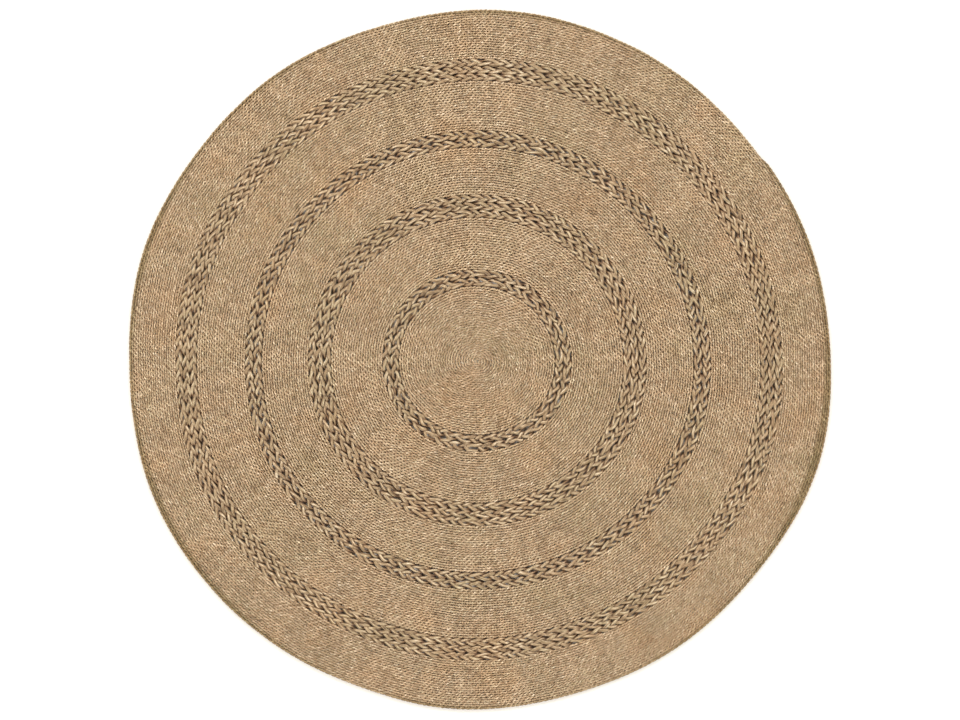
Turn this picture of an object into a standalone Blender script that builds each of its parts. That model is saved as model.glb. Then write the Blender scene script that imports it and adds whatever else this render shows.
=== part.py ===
"""Round openwork rug, hand sewn from twisted seagrass cord.

Five flat coils of cord, wound close like a record's groove, alternate with four bands of openwork.
An openwork band is two or three rings of loose three-strand plait. Every coil and plait is a piece
of its own, and each is laced to the next one out by a ring of twine that lies in the groove under
the seam. The rug lies flat on the floor with its centre at the origin and +Z up. Nothing on it
hinges or slides.

Sizes are in millimetres, and mesh coordinates are in metres.
"""

import math

import bmesh
import bpy
from mathutils import Vector

MM = 0.001

# The coils, from the centre out: each one's name and its turns of cord
CORD_PITCH = 5.25
COIL_THICKNESS = 7.0
COILS = (
    ("centre_coil", 31),
    ("second_coil", 21),
    ("third_coil", 19),
    ("fourth_coil", 20),
    ("border_coil", 20),
)

# The openwork between them, from the centre out: each band's plaits and the width of one plait
PLAIT_THICKNESS = 8.6
OPENWORK = (
    (2, 17.8),
    (3, 16.4),
    (2, 18.2),
    (3, 15.4),
)

# How one piece meets the next
SEAM_HEIGHT = 3.5  # where neighbours touch, above the floor
SEAM_GAP = 0.3
EDGE_INSET = 2.2  # how far a rounded edge draws in, at the floor and at the top

# The lacing twine under each seam
TWINE_RADIUS = 0.9
TWINE_CLEARANCE = 0.3

# How far the finished rug was pulled out of round
OVAL_PULL, OVAL_HEADING = 3.9, -4.5  # size, and heading in degrees
OVAL_REACH = 80.0  # the oval grows out to this radius and then stays
PULLS = (  # evenly spaced headings, size, first heading in degrees, how steeply it grows outwards
    (3, 3.0, 99.5, 1),
    (4, 1.5, 76.5, 3),
    (5, 1.5, 67.0, 3),
    (6, 0.9, 34.0, 5),
    (8, 1.4, 30.0, 5),
    (10, 1.5, 18.0, 5),
)
CENTRE_OFFSET = (-7.0, -3.6)  # where the centre coil starts, from the middle of the outline's box
RIM_OFFSET = (-2.7, -2.1)  # and where the rim's own circle is centred

ROUND_STEPS = 48  # flats around every ring, the same for all so that seams stay even
TWINE_SIDES = 3

SEAGRASS = "#B29774"
PLAITED_SEAGRASS = "#A58A68"
TWINE = "#8A6F4C"


def linear(hex_colour):
    """The RGBA that a shader socket takes for an sRGB hex colour."""
    channels = (int(hex_colour[i : i + 2], 16) / 255 for i in (1, 3, 5))
    return *(c / 12.92 if c <= 0.04045 else ((c + 0.055) / 1.055) ** 2.4 for c in channels), 1.0


def material(name, hex_colour, roughness):
    """A dry plant-fibre finish."""
    made = bpy.data.materials.new(name)
    made.use_nodes = True
    shader = made.node_tree.nodes["Principled BSDF"]
    shader.inputs["Base Color"].default_value = linear(hex_colour)
    shader.inputs["Roughness"].default_value = roughness
    shader.inputs["Metallic"].default_value = 0.0
    made.diffuse_color = linear(hex_colour)
    return made


def pull(headings, size, first_heading, angle):
    """How far a pull towards evenly spaced headings moves the stitches at this angle outwards."""
    return size * math.cos(headings * (angle - math.radians(first_heading)))


def settled(x, y, rim):
    """Where a point of the true circles lies in the finished rug, in millimetres."""
    radius, angle = math.hypot(x, y), math.atan2(y, x)
    share = radius / rim
    out = pull(2, OVAL_PULL, OVAL_HEADING, angle) * min(radius / OVAL_REACH, 1.0)
    for headings, size, first_heading, steepness in PULLS:
        out += pull(headings, size, first_heading, angle) * share**steepness
    grown = (radius + out) / radius if radius > 0 else 1.0
    towards_rim = share**3
    shift_x, shift_y = (
        centre + (rim_circle - centre) * towards_rim
        for centre, rim_circle in zip(CENTRE_OFFSET, RIM_OFFSET)
    )
    return x * grown + shift_x, y * grown + shift_y


def turned(name, profile, closed, rim, collection, finish):
    """Spins a profile of (radius, height) points once around the rug's axis and settles it."""
    bm = bmesh.new()
    verts = [bm.verts.new((radius * MM, 0.0, height * MM)) for radius, height in profile]
    pairs = list(zip(verts, verts[1:]))
    if closed:
        pairs.append((verts[-1], verts[0]))
    edges = [bm.edges.new(pair) for pair in pairs]
    bmesh.ops.spin(
        bm,
        geom=verts + edges,
        axis=(0.0, 0.0, 1.0),
        cent=(0.0, 0.0, 0.0),
        angle=math.tau,
        steps=ROUND_STEPS,
        use_merge=True,
        use_duplicate=False,
    )
    bmesh.ops.remove_doubles(bm, verts=bm.verts, dist=0.01 * MM)
    for vert in bm.verts:
        x, y = settled(vert.co.x / MM, vert.co.y / MM, rim)
        vert.co = Vector((x * MM, y * MM, vert.co.z))
    bmesh.ops.triangulate(bm, faces=bm.faces)
    bmesh.ops.recalc_face_normals(bm, faces=bm.faces)
    mesh = bpy.data.meshes.new(name)
    bm.to_mesh(mesh)
    bm.free()
    mesh.materials.append(finish)
    made = bpy.data.objects.new(name, mesh)
    collection.objects.link(made)
    return made


def ring_profile(inner, outer, thickness):
    """The section of one coil or plait: flat under foot and on the floor, drawn in at both edges."""
    left, right = inner + SEAM_GAP / 2, outer - SEAM_GAP / 2
    outer_side = [
        (right - EDGE_INSET, 0.0),
        (right, SEAM_HEIGHT),
        (right - EDGE_INSET, thickness),
    ]
    if inner == 0:
        return [(0.0, 0.0), *outer_side, (0.0, thickness)]
    inner_side = [
        (left + EDGE_INSET, thickness),
        (left, SEAM_HEIGHT),
        (left + EDGE_INSET, 0.0),
    ]
    return outer_side + inner_side


def twine_profile(seam):
    """The twine's section, as high in the groove under a seam as its clearance lets it go."""
    groove_slope = math.atan2(EDGE_INSET, SEAM_HEIGHT)
    groove_top = SEAM_HEIGHT * (1.0 + SEAM_GAP / 2 / EDGE_INSET)
    height = groove_top - TWINE_CLEARANCE / math.sin(groove_slope) - TWINE_RADIUS
    around = (math.tau * side / TWINE_SIDES for side in range(TWINE_SIDES))
    return [
        (seam + TWINE_RADIUS * math.sin(turn), height + TWINE_RADIUS * math.cos(turn))
        for turn in around
    ]


def laid_out():
    """Each coil and plait, from the centre out: name, inner and outer radius, thickness, finish."""
    radius, pieces = 0.0, []
    for place, (name, turns) in enumerate(COILS):
        width = turns * CORD_PITCH
        pieces.append((name, radius, radius + width, COIL_THICKNESS, "seagrass_cord"))
        radius += width
        if place < len(OPENWORK):
            plaits, width = OPENWORK[place]
            for plait in range(plaits):
                name = f"openwork_{place + 1}_plait_{plait + 1}"
                pieces.append((name, radius, radius + width, PLAIT_THICKNESS, "seagrass_plait"))
                radius += width
    return pieces


def main():
    for old in list(bpy.data.objects):
        bpy.data.objects.remove(old)
    rug = bpy.data.collections.new("seagrass_rug")
    bpy.context.scene.collection.children.link(rug)
    finishes = {
        "seagrass_cord": material("seagrass_cord", SEAGRASS, 0.72),
        "seagrass_plait": material("seagrass_plait", PLAITED_SEAGRASS, 0.75),
        "lacing_twine": material("lacing_twine", TWINE, 0.85),
    }
    pieces = laid_out()
    rim = pieces[-1][2]
    for name, inner, outer, thickness, finish in pieces:
        profile = ring_profile(inner, outer, thickness)
        turned(name, profile, inner > 0, rim, rug, finishes[finish])
    for count, (_, _, seam, _, _) in enumerate(pieces[:-1], start=1):
        name = f"lacing_{count:02d}"
        turned(name, twine_profile(seam), True, rim, rug, finishes["lacing_twine"])


main()
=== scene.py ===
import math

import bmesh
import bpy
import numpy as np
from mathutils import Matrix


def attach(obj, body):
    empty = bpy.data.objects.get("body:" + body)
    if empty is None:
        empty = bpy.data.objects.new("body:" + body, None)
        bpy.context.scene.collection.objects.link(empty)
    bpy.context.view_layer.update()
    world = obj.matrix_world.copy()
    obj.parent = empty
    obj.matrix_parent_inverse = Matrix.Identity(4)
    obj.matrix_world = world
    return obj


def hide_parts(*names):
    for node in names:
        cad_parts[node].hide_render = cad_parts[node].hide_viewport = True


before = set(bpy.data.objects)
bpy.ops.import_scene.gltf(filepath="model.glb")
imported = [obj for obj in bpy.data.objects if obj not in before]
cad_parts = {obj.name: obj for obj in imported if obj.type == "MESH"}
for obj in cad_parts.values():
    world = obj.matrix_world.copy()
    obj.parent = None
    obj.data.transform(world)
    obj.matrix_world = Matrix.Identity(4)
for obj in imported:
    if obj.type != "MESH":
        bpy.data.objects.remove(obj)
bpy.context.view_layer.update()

# Round openwork rug, hand sewn from twisted seagrass cord, in its finished looks.
#
# Each close-wound coil of the frame becomes real cord: two plies twisted together and wound row
# beside row, so that the bumps of one row rest in the hollows of the next. Each ring of openwork
# becomes three strands plaited all the way round, and each lacing becomes two-ply twine in the
# groove under its seam. Sizes are in millimetres, and mesh coordinates are in metres.

MM = 0.001
CHANCE = np.random.default_rng(7)

# The layout, as in the frame. Coils from the centre out: turns of cord.
CORD_PITCH = 5.25
COIL_THICKNESS = 7.0
COIL_TURNS = (31, 21, 19, 20, 20)
# The openwork between them: each band's plaits and the width of one plait
OPENWORK = ((2, 17.8), (3, 16.4), (2, 18.2), (3, 15.4))
RIM = 750.15

# How far the finished rug was pulled out of round
OVAL_PULL, OVAL_HEADING = 3.9, -4.5
OVAL_REACH = 45.0  # the oval is there from the first few turns
PULLS = (  # evenly spaced headings, size, first heading in degrees, how steeply it grows outwards
    (3, 3.0, 99.5, 1),
    (4, 1.5, 76.5, 3),
    (5, 1.5, 67.0, 3),
    (6, 0.9, 34.0, 5),
    (8, 1.4, 30.0, 5),
    (10, 1.5, 18.0, 5),
)
CENTRE_OFFSET = (-7.0, -3.6)
RIM_OFFSET = (-2.7, -2.1)
BORDER_PULLS = (  # the border alone, growing from nothing at its inner edge: it ends part way round
    (0, -3.4, 0.0),
    (1, 3.0, 148.0),
    (2, 1.1, 56.0),
    (4, 0.9, 55.0),
)

# How each coil is wound. Rows are true rings that step out by one cord in a short sector.
COILS = (
    # node, way seen from above, heading where the step ends, turns left over at the end, lengths
    ("centre_coil", -1, 200.0, 0.0, 1),
    ("second_coil", 1, 262.0, 0.0, 1),
    ("third_coil", 1, 257.0, 0.0, 2),
    ("fourth_coil", 1, 261.0, 0.0, 2),
    ("border_coil", 1, 265.0, 131.0 / 360, 3),
)
TURN_STEPS = 720  # places at which each turn is worked out
STEP_SECTOR = 16.0 / 360  # share of a turn over which a row steps out
RIM_TAPER = 0.006  # and over which the border's cord runs out at the rim
SPIRAL_ROWS, RINGING_ROWS = 4.0, 24.0  # the centre is a plain spiral, then turns ring-like
WANDER = 0.9  # how far rows stray from their rings inside a coil
WANDER_REACH = 60.0  # and how far out from the rug's centre they do so in full
WANDER_FALL = 0.7  # how steeply that falls to nothing at a coil's edges
WAVE_DRIFT = 0.22  # how far waves move on from one row to the next, in radians
COIL_WAVES = (9, 5, 44)  # how many, and between which counts around the rug

# The start of the centre coil, tucked under its first turn
TUCK = 0.4  # turns
TUCK_THICKNESS, TUCK_GROWTH = 0.55, 0.5  # share of full thickness, and turns to reach it

# The cord: two plies, so a bump every half turn of twist
CORD_STEP = 2.8  # between points along the cord
PLY_OUT, PLY_UP, PLY_WAIST = 2.85, 2.03, 1.55  # half width, half height, and height at the crease
THINNEST = 0.15  # share of full thickness at which a cord is cut off
BUMP_LENGTH = 11.2
BUMP_STRAY = (0.4, 0.45)  # how unevenly extra bumps come in: reach in turns, size in bumps
BUMP_SQUEEZE = 0.6  # share of the way to the next bump over which an extra one is squeezed in
TWIST_STRAYS = ((70.0, 0.3), (19.0, 0.15))  # of a row from the row before: reach, and radians
LOOSE_ROWS, SETTLING_ROWS = 3.0, 6.0  # bumps of the centre's first rows don't meet, then come to
SETTLING_TURNS = 0.5  # and in the other coils
THICKNESS_STRAYS = ((45.0, 0.035), (8.0, 0.02))  # reach, and share of thickness
LIFT_STRAY = (30.0, 0.2)  # reach and size of a cord's ups and downs
NESTLE = 0.4  # how far a bump reaches into the next row's hollow
ROW_PRESS = 1.09  # rows are pressed a little into each other

# The plait: three strands, each crossing from edge to edge and back
STRAND_PERIOD = 74.0
STRAND_STEP = 3.2
STRAND_WIDTH, STRAND_HEIGHT = 6.5, 3.8
STRAND_EDGE = 0.35  # a strand's edge is this share of its height
STRAND_REACH = 1.06  # how much longer than its ring a strand is taken to be
PLAIT_WIDTH = 17.0  # the plait that these sizes are for
PLAIT_MIDDLE = 4.35  # above the floor
PLAIT_SWING = 6.2  # a strand's middle, out from the plait's middle
PLAIT_LIFT = 2.1  # a strand's middle, up and down at a crossing
PLAIT_SLACK = -0.55  # draws the strands in, so the outer openings are the wide ones
SWING_ROUND = 0.78  # how round a strand's swing is, against pointed
CROSSING_STRAY, SWING_STRAY, STRAND_STRAY = 0.5, 0.07, 0.1  # uneven crossings, edges, thickness
CROSSING_WAVES, LOOSE_WAVES = (6, 6, 40), (8, 20, 90)

# The lacing twine, two-ply, stitched from side to side
LACING_HEIGHT = 2.3
TWINE_STEP = 3.4
TWINE_OUT, TWINE_UP = 0.85, 0.5
TWINE_BUMP = 7.0
STITCH_STEPS = 4
STITCH_OUT, STITCH_UP = 0.35, 0.2

# How a cord's grain and its skin are laid out
GRAIN_SHIFT = 9000.0  # between one strand's grain and the next
STRIP_MARGIN = 0.04  # share of a strip's width kept clear at each side

# The grain of dried seagrass: size along a cord and across it, where it starts, and its detail
GRAIN = {
    "blades": (38.0, 1.5, 3.1, 2.0),
    "flecks": (13.0, 4.0, 11.7, 1.5),
    "fibres": (22.0, 0.45, 23.9, 1.0),
    "lengths": (160.0, 4.5, 31.3, 1.0),
    "areas": (110.0, 110.0, 5.3, 3.0),  # these run across the whole rug
}
GRAIN_ROUGHNESS = 0.55
FIBRE_TINTS = ((0.36, "#C9BAA5"), (0.5, "#FFFFFF"))
LENGTH_TINTS = ((0.34, "#F6F7EE"), (0.5, "#FFFFFF"), (0.66, "#FFFAF4"))
AREA_TINTS = ((0.3, "#F7F8F2"), (0.5, "#FFFFFF"), (0.7, "#FFF8EF"))
RIM_TINTS = ((0.737, "#FFFFFF"), (0.744, "#C8C4AB"))  # by metres out: the last rows dried greener
UNDERSIDE = (-0.15, -0.5)  # how far down a face looks when shade no longer darkens it
BLADE_SHEEN = (0.1, -0.08)  # duller and shinier blades, around a material's roughness
RELIEF_STRENGTH, RELIEF_DEPTH = 0.7, 0.7
SEAGRASS_IOR = 1.45

# The studio, in metres and watts
FLOOR_RADIUS = 5.0
LIGHTS = 8
LIGHT_DISTANCE, LIGHT_ELEVATION, LIGHT_POWER = 8.0, 28.0, 385.0
SOFTBOX = (5.6, 1.7)
BRIGHTER_SIDE, BRIGHTER_BY = 100.0, 0.25  # heading in degrees, and by what share
WALL_GLOW, CEILING_GLOW = 1.1, 0.02
WALL_TOP, CEILING_EDGE = 0.15, 0.55  # sines of the elevations between which one fades to the other
CAMERA_PLACE = (0.0, -0.0019, 4.85)


def pull(headings, size, first_heading, angle):
    """How far a pull towards evenly spaced headings moves the cord at this angle outwards."""
    return size * np.cos(headings * (angle - math.radians(first_heading)))


def settled(radius, heading, height):
    """Points of the finished rug, in millimetres, from true rings around its centre."""
    share = radius / RIM
    out = pull(2, OVAL_PULL, OVAL_HEADING, heading) * np.minimum(radius / OVAL_REACH, 1.0)
    for headings, size, first_heading, steepness in PULLS:
        out = out + pull(headings, size, first_heading, heading) * share**steepness
    shift = [c + (r - c) * share**3 for c, r in zip(CENTRE_OFFSET, RIM_OFFSET)]
    x = (radius + out) * np.cos(heading) + shift[0]
    y = (radius + out) * np.sin(heading) + shift[1]
    return np.stack([x, y, height + 0.0 * x], axis=1)


def eased(x):
    """A smooth rise from 0 to 1 as x goes from 0 to 1."""
    x = np.clip(x, 0.0, 1.0)
    return x * x * (3.0 - 2.0 * x)


def stray(at, reach, size):
    """Smooth random wandering along a length, one new value every reach."""
    knots = CHANCE.uniform(-1.0, 1.0, int(np.ptp(at) / reach) + 4)
    place = (at - at.min()) / reach
    first = place.astype(int)
    blend = eased(place - first)
    return size * (knots[first] * (1 - blend) + knots[first + 1] * blend)


def ring_waves(count, slowest, fastest):
    """Random waves around the rug that close on themselves and drift a little from row to row."""
    rates = CHANCE.integers(slowest, fastest, count)
    starts = CHANCE.uniform(0.0, math.tau, count)
    drifts = CHANCE.uniform(-WAVE_DRIFT, WAVE_DRIFT, count)

    def waves(heading, row):
        parts = [np.sin(r * heading + s + d * row) for r, s, d in zip(rates, starts, drifts)]
        return sum(parts) / math.sqrt(count)

    return waves


def swept_cords(name, runs, section, closed):
    """Sweeps a section along runs of (points, twist, thickness) and returns the mesh.

    Its vertices follow the runs point by point, so each one's place along and across its cord is
    known. That place, as if the cord were pulled straight and untwisted, goes into cord_space in
    millimetres, and OFBake gets the cord's skin cut into strips and laid side by side.
    """
    outline = bpy.data.curves.new(name + "_section", "CURVE")
    outline.dimensions = "2D"
    spline = outline.splines.new("POLY")
    spline.points.add(len(section) - 1)
    for point, (x, y) in zip(spline.points, section):
        point.co = (x * MM, y * MM, 0.0, 1.0)
    spline.use_cyclic_u = True
    curve = bpy.data.curves.new(name, "CURVE")
    curve.dimensions = "3D"
    curve.twist_mode = "Z_UP"
    curve.bevel_mode = "OBJECT"
    curve.bevel_object = bpy.data.objects.new(outline.name, outline)
    for points, twist, thickness in runs:
        spline = curve.splines.new("POLY")
        spline.points.add(len(points) - 1)
        placed = np.column_stack([points * MM, np.ones(len(points))])
        spline.points.foreach_set("co", placed.astype(np.float32).ravel())
        spline.points.foreach_set("tilt", np.mod(-twist, math.tau).astype(np.float32))
        spline.points.foreach_set("radius", thickness.astype(np.float32))
        spline.use_cyclic_u = closed
    swept = bpy.data.objects.new(name, curve)
    bpy.context.collection.objects.link(curve.bevel_object)
    bpy.context.collection.objects.link(swept)
    bpy.context.view_layer.update()
    cords = swept.evaluated_get(bpy.context.evaluated_depsgraph_get())
    mesh = bpy.data.meshes.new_from_object(cords)
    mesh.name = name
    bpy.data.objects.remove(curve.bevel_object)
    bpy.data.objects.remove(swept)

    across = np.array(section)
    along = []
    for number, (points, _, _) in enumerate(runs):
        lengths = np.linalg.norm(np.diff(points, axis=0), axis=1)
        place = np.concatenate([[0.0], np.cumsum(lengths)])
        if closed:  # there and back, so that nothing jumps where the cord meets itself
            place = np.abs(place - place[-1] / 2)
        along.append(place + GRAIN_SHIFT * number)
    along = np.concatenate(along)
    space = np.column_stack([np.repeat(along, len(across)), np.tile(across, (len(along), 1))])
    place = mesh.attributes.new("cord_space", "FLOAT_VECTOR", "POINT")
    place.data.foreach_set("vector", space.astype(np.float32).ravel())
    lay_strips(mesh, [len(run[0]) - (0 if closed else 1) for run in runs], across)
    return mesh


def lay_strips(mesh, spans, across):
    """Cuts each cord's skin into strips of equal length and fills the OFBake map with them."""
    sides = len(across)
    girth = np.linalg.norm(across - np.roll(across, 1, axis=0), axis=1).sum()
    total = sum(spans)
    edge = mesh.vertices[0].co - mesh.vertices[sides].co
    strips = max(1, round(math.sqrt(total * edge.length / MM / girth)))
    length = math.ceil(total / strips) + 1
    while sum(math.ceil(span / length) for span in spans) > strips:
        length += 1
    along, strip = [], []
    used = 0
    for span in spans:
        place = np.arange(span)
        along.append(place % length)
        strip.append(used + place // length)
        used = strip[-1][-1] + 1
    along, strip = (np.repeat(np.concatenate(part), sides) for part in (along, strip))
    side = np.tile(np.arange(sides), total)
    u = np.stack([along, along + 1, along + 1, along], axis=1) / length
    around = np.stack([side + 1, side + 1, side, side], axis=1) / sides
    v = (strip[:, None] + STRIP_MARGIN + (1.0 - 2.0 * STRIP_MARGIN) * around) / strips
    while mesh.uv_layers:
        mesh.uv_layers.remove(mesh.uv_layers[0])
    flat = mesh.uv_layers.new(name="OFBake")
    flat.data.foreach_set("uv", np.stack([u, v], axis=2).astype(np.float32).ravel())


def close_ends(mesh):
    """Caps the cut ends of open cords."""
    bm = bmesh.new()
    bm.from_mesh(mesh)
    ends = [edge for edge in bm.edges if edge.is_boundary]
    bmesh.ops.holes_fill(bm, edges=ends, sides=0)
    bm.to_mesh(mesh)
    bm.free()


def piece(name, mesh, finish, node):
    """Puts a finished mesh in the scene as the piece that stands for a frame node."""
    mesh.polygons.foreach_set("use_smooth", np.ones(len(mesh.polygons), dtype=bool))
    mesh.materials.clear()
    mesh.materials.append(finish)
    made = bpy.data.objects.new(name, mesh)
    bpy.context.collection.objects.link(made)
    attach(made, "root")
    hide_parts(node)


def row_place(travelled):
    """Rows out from the coil's inner edge to the cord's middle: as rings, and as a spiral."""
    row = np.floor(travelled)
    share = travelled - row
    ring = eased((share - 1.0 + STEP_SECTOR) / STEP_SECTOR)
    return row + 0.5 + ring, row + 0.5 + share


def wound(inner, turns, way, step_heading, left_over):
    """Where a coil's cord runs: turns travelled, distance out, heading, thickness, length run."""
    outer = inner + turns * CORD_PITCH
    first = -TUCK if inner == 0 else -STEP_SECTOR
    last = turns + left_over
    travelled = np.linspace(first, last, int((last - first) * TURN_STEPS))
    ring, spiral = row_place(travelled)
    ringlike = np.ones_like(travelled)
    if inner == 0:
        ringlike = eased((travelled - SPIRAL_ROWS) / RINGING_ROWS)
    rows = spiral + (ring - spiral) * ringlike
    distance = inner + CORD_PITCH * rows
    thickness = np.ones_like(travelled)

    if inner == 0:  # the start is tucked under the first turn
        grown = eased((travelled - first) / TUCK_GROWTH)
        thickness = TUCK_THICKNESS + (1.0 - TUCK_THICKNESS) * grown
    else:  # the start is drawn in from nothing as the next row steps out past it
        grown = eased((travelled + STEP_SECTOR) / STEP_SECTOR)
        starting = travelled < 0
        distance = np.where(starting, inner + CORD_PITCH * grown / 2, distance)
        thickness = np.where(starting, grown, thickness)
    if left_over == 0:  # and the end is tucked in the same way
        spare = 1.0 - eased((travelled - last + STEP_SECTOR) / STEP_SECTOR)
        ending = travelled > last - STEP_SECTOR
        distance = np.where(ending, outer - CORD_PITCH * spare / 2, distance)
        thickness = np.where(ending, spare, thickness)
    else:  # the border's runs out against the row before
        spare = 1.0 - eased((travelled - last + RIM_TAPER) / RIM_TAPER)
        distance = distance - CORD_PITCH * (1.0 - spare) / 2
        thickness = thickness * spare

    heading = math.radians(step_heading) + way * math.tau * travelled
    within = np.clip((distance - inner) / (outer - inner), 0.0, 1.0)
    inside = np.sin(math.pi * within) ** WANDER_FALL
    wander = WANDER * inside * ring_waves(*COIL_WAVES)(heading, travelled)
    distance = distance + wander * np.minimum(distance / WANDER_REACH, 1.0)
    if left_over:
        within = (distance - inner) / (outer - inner)
        distance = distance + within * sum(pull(*wave, heading) for wave in BORDER_PULLS)
    steps = np.hypot(np.diff(distance), np.diff(heading) * distance[1:])
    return travelled, distance, heading, thickness, np.concatenate([[0.0], np.cumsum(steps)])


def twisted(inner, travelled, length_run):
    """How a coil's cord is twisted, so that bumps rest in the hollows of the row before.

    Each row is longer than the last, so every so often one more bump is squeezed into it.
    """
    bumps = math.tau * (inner + CORD_PITCH * (travelled + 0.5)) / BUMP_LENGTH
    wanted = bumps - 0.5 + stray(travelled, *BUMP_STRAY)
    whole = np.floor(wanted)
    stepped = whole + eased((wanted - whole - 0.5) / BUMP_SQUEEZE + 0.5)
    if inner == 0:
        regular = eased((travelled - LOOSE_ROWS) / SETTLING_ROWS)
    else:
        regular = eased(travelled / SETTLING_TURNS)
    counted = wanted + (stepped - wanted) * regular
    strays = sum(stray(length_run, *each) for each in TWIST_STRAYS)
    twist = np.empty_like(travelled)
    share = (length_run[:TURN_STEPS] - length_run[0]) / (length_run[TURN_STEPS] - length_run[0])
    twist[:TURN_STEPS] = math.pi * (counted[TURN_STEPS] + 0.5) * share
    for start in range(TURN_STEPS, len(travelled), TURN_STEPS):
        stop = min(start + TURN_STEPS, len(travelled))
        gained = math.pi * (0.5 + counted[start:stop]) + strays[start:stop]
        twist[start:stop] = twist[start - TURN_STEPS : stop - TURN_STEPS] + gained
    return twist


def coil_cord(node, inner, turns, way, step_heading, left_over, lengths, finish):
    """Winds one coil from real cord, in one length or more."""
    travelled, *winding, length_run = wound(inner, turns, way, step_heading, left_over)
    twist = twisted(inner, travelled, length_run)

    # Points along it, evenly spaced
    count = int(length_run[-1] / CORD_STEP)
    even = np.linspace(0.0, length_run[-1], count)
    distance, heading, thickness, twist = (
        np.interp(even, length_run, values) for values in (*winding, twist)
    )
    uneven = 1.0 + sum(stray(even, *each) for each in THICKNESS_STRAYS)
    lift = stray(even, *LIFT_STRAY)
    points = settled(distance, heading, COIL_THICKNESS / 2 + lift)
    thickness = np.maximum(thickness, THINNEST) * uneven
    section = [
        (PLY_OUT, PLY_UP),
        (PLY_OUT, -PLY_UP),
        (0.0, -PLY_WAIST),
        (-PLY_OUT, -PLY_UP),
        (-PLY_OUT, PLY_UP),
        (0.0, PLY_WAIST),
    ]
    cuts = np.linspace(0, count - 1, lengths + 1).astype(int)
    for number, (start, stop) in enumerate(zip(cuts, cuts[1:]), start=1):
        name = f"{node}_cord_{number}" if lengths > 1 else f"{node}_cord"
        part = slice(start, stop + 1)
        mesh = swept_cords(name, [(points[part], twist[part], thickness[part])], section, False)
        nestle(mesh, points[part], twist[part], len(section))
        close_ends(mesh)
        piece(name, mesh, finish, node)


def nestle(mesh, points, twist, sides):
    """Fits a cord into its row: wide where its bump lies flat, narrow where it stands, pressed."""
    along = np.gradient(points, axis=0)
    along /= np.linalg.norm(along, axis=1)[:, None]
    sideways = np.column_stack([along[:, 1], -along[:, 0]])
    natural = PLY_OUT * np.abs(np.cos(twist)) + PLY_UP * np.abs(np.sin(twist))
    room = CORD_PITCH / 2 * ROW_PRESS + NESTLE * np.cos(2 * twist)
    squeeze = np.repeat(room / natural - 1.0, sides)[:, None]
    upright = PLY_OUT * np.abs(np.sin(twist)) + PLY_UP * np.abs(np.cos(twist))
    press = np.repeat((COIL_THICKNESS / 4 + upright / 2) / upright, sides)
    sideways, middle = (np.repeat(part, sides, axis=0) for part in (sideways, points[:, :2]))
    place = np.empty(len(mesh.vertices) * 3, dtype=np.float32)
    mesh.vertices.foreach_get("co", place)
    place = place.reshape(-1, 3)
    off = ((place[:, :2] - middle * MM) * sideways).sum(axis=1)[:, None]
    place[:, :2] += off * squeeze * sideways
    height = np.repeat(points[:, 2], sides) * MM
    place[:, 2] = np.maximum(height + (place[:, 2] - height) * press, 0.0)
    mesh.vertices.foreach_set("co", place.ravel())


def plait(node, inner, outer, finish):
    """Plaits three strands all the way round one ring of openwork."""
    middle = (inner + outer) / 2
    periods = round(math.tau * middle / STRAND_PERIOD)
    count = int(math.tau * middle * STRAND_REACH / STRAND_STEP)
    turn = np.arange(count) / count
    width = (outer - inner) / PLAIT_WIDTH
    heading = math.tau * turn
    waves, loose = ring_waves(*CROSSING_WAVES), ring_waves(*LOOSE_WAVES)
    runs = []
    for strand in range(3):
        phase = math.tau * (periods * turn + strand / 3)
        phase = phase + CROSSING_STRAY * waves(heading, 3 * strand)
        swing = np.sin(phase) * (SWING_ROUND + (1.0 - SWING_ROUND) * np.sin(phase) ** 2)
        swing = swing + SWING_STRAY * loose(heading, strand)
        out = width * (PLAIT_SWING * swing + PLAIT_SLACK * np.cos(2 * phase))
        up = PLAIT_LIFT * np.sin(2 * phase)
        points = settled(middle + out, heading, PLAIT_MIDDLE + up)
        thickness = 1.0 + STRAND_STRAY * loose(heading, 5 * strand + 2)
        runs.append((points, np.zeros(count), thickness))
    half_width, half_height = STRAND_WIDTH / 2, STRAND_HEIGHT / 2
    edge = STRAND_EDGE * half_height
    section = [
        (half_width, edge),
        (half_width, -edge),
        (0.0, -half_height),
        (-half_width, -edge),
        (-half_width, edge),
        (0.0, half_height),
    ]
    name = node + "_strands"
    piece(name, swept_cords(name, runs, section, True), finish, node)


def lacing(node, seam, finish):
    """Two-ply twine all the way round one seam, stitched from side to side in its groove."""
    count = int(math.tau * seam / TWINE_STEP)
    turn = np.arange(count) / count
    stitches = round(math.tau * seam / (STITCH_STEPS * TWINE_STEP))
    heading = math.tau * turn
    out = STITCH_OUT * np.sin(stitches * heading)
    up = STITCH_UP * np.cos(stitches * heading)
    points = settled(seam + out, heading, LACING_HEIGHT + up)
    twist = math.pi * round(math.tau * seam / TWINE_BUMP) * turn
    section = [(TWINE_OUT, 0.0), (0.0, -TWINE_UP), (-TWINE_OUT, 0.0), (0.0, TWINE_UP)]
    name = node + "_twine"
    mesh = swept_cords(name, [(points, twist, np.ones(count))], section, True)
    piece(name, mesh, finish, node)


def linear(hex_colour):
    """The RGBA that a shader socket takes for an sRGB hex colour."""
    channels = (int(hex_colour[i : i + 2], 16) / 255 for i in (1, 3, 5))
    return *(c / 12.92 if c <= 0.04045 else ((c + 0.055) / 1.055) ** 2.4 for c in channels), 1.0


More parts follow.
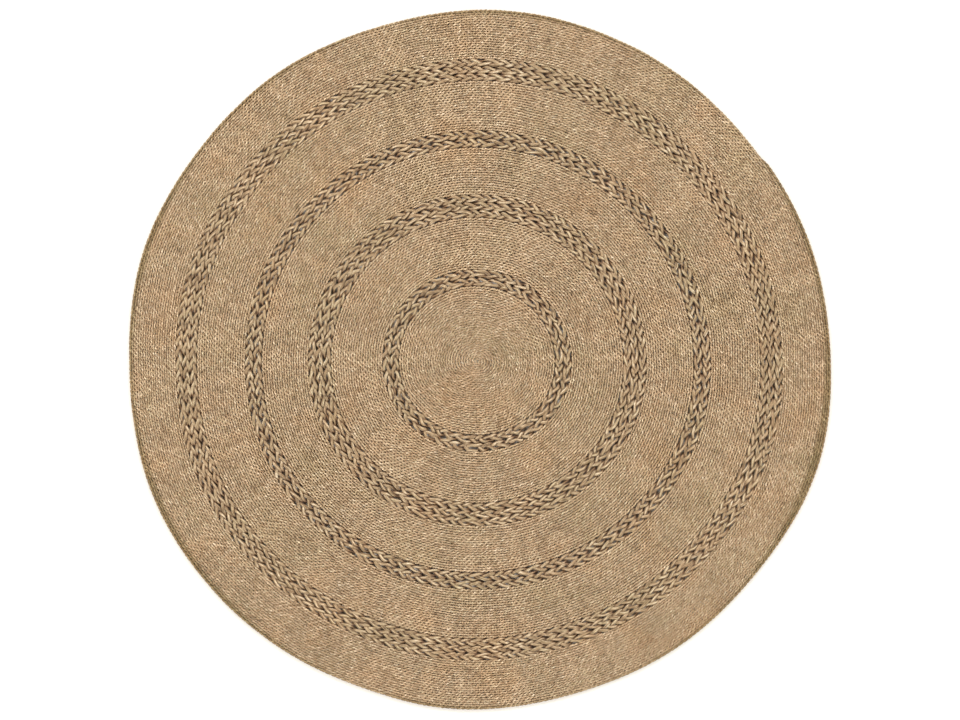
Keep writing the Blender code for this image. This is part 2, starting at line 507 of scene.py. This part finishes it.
def add(tree, kind, inputs=(), stops=(), **settings):
    """Adds a node: its settings, values or links for its inputs, and stops of (place, sRGB hex)."""
    made = tree.nodes.new(kind)
    for key, value in settings.items():
        setattr(made, key, value)
    for key, value in dict(inputs).items():
        if isinstance(value, bpy.types.NodeSocket):
            tree.links.new(value, made.inputs[key])
        else:
            made.inputs[key].default_value = value
    for place, _ in stops[2:]:
        made.color_ramp.elements.new(place)
    if stops:
        for element, (place, _) in zip(made.color_ramp.elements, stops):
            element.position = place
        for element, (_, colour) in zip(made.color_ramp.elements, stops):
            element.color = linear(colour)
    return made


def seagrass(name, tones, flecked, flank_shade, roughness, depth_shade=None):
    """Dried seagrass, twisted or plaited by hand and left unvarnished.

    The eye gets long flat blades side by side in mixed straw tones, short darker flecks where a
    blade is bruised, painted shade that darkens the flanks of cords and strands where a face turns
    sideways, whole lengths that dried greener or redder than their neighbours, and a dull waxy
    sheen. The depth shade is painted shade low in the rug: the heights between which it fades out,
    and its tones.
    """
    made = bpy.data.materials.new(name)
    made.use_nodes = True
    tree = made.node_tree
    shader = tree.nodes["Principled BSDF"]
    space = add(tree, "ShaderNodeAttribute", attribute_name="cord_space").outputs["Vector"]
    place = add(tree, "ShaderNodeTexCoord").outputs["Object"]
    upright = add(tree, "ShaderNodeNewGeometry").outputs["Normal"]
    upright = add(tree, "ShaderNodeSeparateXYZ", {"Vector": upright}).outputs["Z"]

    grain = {}
    for pattern, (along, across, start, detail) in GRAIN.items():
        scale = (1 / along, 1 / across, 1 / across)
        moved = {"Vector": space, "Scale": scale, "Location": (start, start, start)}
        if pattern == "areas":
            moved["Vector"], moved["Scale"] = place, [size / MM for size in scale]
        moved = add(tree, "ShaderNodeMapping", moved).outputs[0]
        spots = {"Vector": moved, "Scale": 1.0, "Detail": detail, "Roughness": GRAIN_ROUGHNESS}
        grain[pattern] = add(tree, "ShaderNodeTexNoise", spots).outputs["Fac"]

    # painted shade: the more a face turns sideways, the darker the flank ramp makes it
    flat = add(tree, "ShaderNodeMath", {0: upright}, operation="ABSOLUTE").outputs[0]
    out = {0: place, 1: (RIM_OFFSET[0] * MM, RIM_OFFSET[1] * MM, 0.0)}
    out = add(tree, "ShaderNodeVectorMath", out, operation="DISTANCE").outputs["Value"]
    tints = [
        (grain["flecks"], flecked),
        (grain["fibres"], FIBRE_TINTS),
        (grain["lengths"], LENGTH_TINTS),
        (grain["areas"], AREA_TINTS),
        (flat, flank_shade),
        (out, RIM_TINTS),
    ]
    # painted shade: faces low in the rug are darkened, fading out higher up, except faces that look
    # down
    if depth_shade:
        low, high, shaded = depth_shade
        height = add(tree, "ShaderNodeSeparateXYZ", {"Vector": place}).outputs["Z"]
        height = {"Value": height, "From Min": low * MM, "From Max": high * MM}
        height = add(tree, "ShaderNodeMapRange", height, interpolation_type="SMOOTHSTEP")
        under = {"Value": upright, "From Min": UNDERSIDE[0], "From Max": UNDERSIDE[1]}
        under = add(tree, "ShaderNodeMapRange", under)
        lit = {0: height.outputs[0], 1: under.outputs[0]}
        lit = add(tree, "ShaderNodeMath", lit, operation="MAXIMUM").outputs[0]
        tints.append((lit, shaded))

    colour = add(tree, "ShaderNodeValToRGB", {"Fac": grain["blades"]}, tones).outputs["Color"]
    for share, stops in tints:
        tint = add(tree, "ShaderNodeValToRGB", {"Fac": share}, stops).outputs["Color"]
        mixed = {"Factor": 1.0, 6: colour, 7: tint}
        mixed = add(tree, "ShaderNodeMix", mixed, data_type="RGBA", blend_type="MULTIPLY")
        colour = mixed.outputs[2]
    tree.links.new(colour, shader.inputs["Base Color"])

    duller, shinier = BLADE_SHEEN
    dull = {"Value": grain["blades"], "From Min": 0.3, "From Max": 0.7}
    dull.update({"To Min": roughness + duller, "To Max": roughness + shinier})
    tree.links.new(add(tree, "ShaderNodeMapRange", dull).outputs[0], shader.inputs["Roughness"])
    relief = {0: grain["blades"], 1: grain["fibres"]}
    relief = add(tree, "ShaderNodeMath", relief, operation="ADD").outputs[0]
    relief = {"Height": relief, "Strength": RELIEF_STRENGTH, "Distance": RELIEF_DEPTH * MM}
    tree.links.new(add(tree, "ShaderNodeBump", relief).outputs[0], shader.inputs["Normal"])
    shader.inputs["IOR"].default_value = SEAGRASS_IOR
    shader.inputs["Metallic"].default_value = 0.0
    return made


def painted(name, hex_colour, roughness):
    """Matt paint, rolled on: a plain even finish with hardly any sheen, for the studio floor."""
    made = bpy.data.materials.new(name)
    made.use_nodes = True
    shader = made.node_tree.nodes["Principled BSDF"]
    shader.inputs["Base Color"].default_value = linear(hex_colour)
    shader.inputs["Roughness"].default_value = roughness
    shader.inputs["Specular IOR Level"].default_value = 0.2
    return made


def studio():
    """A pale floor, a ring of large soft lights, and a camera that looks straight down."""
    bm = bmesh.new()
    bmesh.ops.create_circle(bm, cap_ends=True, segments=96, radius=FLOOR_RADIUS)
    mesh = bpy.data.meshes.new("studio_floor")
    bm.to_mesh(mesh)
    bm.free()
    mesh.materials.append(painted("studio_floor_paint", "#D6D1C9", 0.9))
    floor = bpy.data.objects.new("studio_floor", mesh)
    bpy.context.collection.objects.link(floor)

    tilt = math.radians(90.0 - LIGHT_ELEVATION)
    for number in range(LIGHTS):
        heading = math.tau * (number + 0.5) / LIGHTS
        light = bpy.data.lights.new(f"softbox_{number + 1}", "AREA")
        light.shape = "RECTANGLE"
        light.size, light.size_y = SOFTBOX
        towards = math.cos(heading - math.radians(BRIGHTER_SIDE))
        light.energy = LIGHT_POWER * (1.0 + BRIGHTER_BY * towards)
        made = bpy.data.objects.new(light.name, light)
        made.location = (
            LIGHT_DISTANCE * math.sin(tilt) * math.cos(heading),
            LIGHT_DISTANCE * math.sin(tilt) * math.sin(heading),
            LIGHT_DISTANCE * math.cos(tilt),
        )
        made.rotation_euler = (tilt, 0.0, heading + math.pi / 2)
        bpy.context.collection.objects.link(made)

    world = bpy.data.worlds.new("studio")  # pale walls all round, and a dim ceiling
    world.use_nodes = True
    tree = world.node_tree
    background = tree.nodes["Background"]
    towards = add(tree, "ShaderNodeTexCoord").outputs["Generated"]
    rise = add(tree, "ShaderNodeSeparateXYZ", {"Vector": towards}).outputs["Z"]
    glow = {"Value": rise, "From Min": WALL_TOP, "From Max": CEILING_EDGE}
    glow.update({"To Min": WALL_GLOW, "To Max": CEILING_GLOW})
    glow = add(tree, "ShaderNodeMapRange", glow, interpolation_type="SMOOTHSTEP").outputs[0]
    background.inputs["Color"].default_value = linear("#FFFCF9")
    tree.links.new(glow, background.inputs["Strength"])
    bpy.context.scene.world = world
    bpy.context.scene.view_settings.view_transform = "Standard"

    camera = bpy.data.cameras.new("camera")
    camera.lens = 85.0
    camera.sensor_width = 36.0
    camera.clip_end = 50.0
    made = bpy.data.objects.new("camera", camera)
    made.location = CAMERA_PLACE
    bpy.context.collection.objects.link(made)
    bpy.context.scene.camera = made


def main():
    # Each finish is painted darker on faces that turn sideways, and cord and plait also low in the
    # rug: painted shade, not a colour of the grass
    cord = seagrass(
        "twisted_seagrass_cord",
        tones=((0.30, "#A98E6F"), (0.45, "#C0A88B"), (0.58, "#D0BBA0"), (0.72, "#E6DAC4")),
        flecked=((0.26, "#92836C"), (0.40, "#D4CBBD"), (0.54, "#DDD6CA"), (0.66, "#FFFFFF")),
        flank_shade=((0.0, "#D6CAB9"), (0.3, "#F4EFE7"), (0.5, "#FFFFFF")),
        depth_shade=(1.5, 4.8, ((0.0, "#CBB9A1"), (1.0, "#FFFFFF"))),
        roughness=0.66,
    )
    braid = seagrass(
        "plaited_seagrass",
        tones=((0.30, "#80684B"), (0.43, "#9D8668"), (0.57, "#B7A58A"), (0.70, "#CDC3AD")),
        flecked=((0.28, "#85755D"), (0.40, "#CFC5B5"), (0.54, "#DDD6CA"), (0.64, "#FFFFFF")),
        flank_shade=((0.0, "#62492F"), (0.45, "#AD9577"), (0.88, "#FFFFFF")),
        depth_shade=(2.2, 6.4, ((0.0, "#4E3418"), (0.5, "#BFA689"), (1.0, "#FFFFFF"))),
        roughness=0.62,
    )
    twine = seagrass(
        "seagrass_twine",
        tones=((0.30, "#534028"), (0.45, "#695438"), (0.58, "#7B6649"), (0.72, "#8C775B")),
        flecked=((0.28, "#B59A80"), (0.44, "#FFFFFF"), (0.75, "#FFFFFF")),
        flank_shade=((0.0, "#A8957E"), (0.3, "#DACDBD"), (0.6, "#FFFFFF")),
        roughness=0.75,
    )
    radius, seams = 0.0, []
    for band, (turns, coil) in enumerate(zip(COIL_TURNS, COILS), start=1):
        node, way, step_heading, left_over, lengths = coil
        coil_cord(node, radius, turns, way, step_heading, left_over, lengths, cord)
        radius += turns * CORD_PITCH
        if band > len(OPENWORK):
            break
        plaits, width = OPENWORK[band - 1]
        for number in range(1, plaits + 1):
            seams.append(radius)
            plait(f"openwork_{band}_plait_{number}", radius, radius + width, braid)
            radius += width
        seams.append(radius)
    for number, seam in enumerate(seams, start=1):
        lacing(f"lacing_{number:02d}", seam, twine)
    studio()


main()
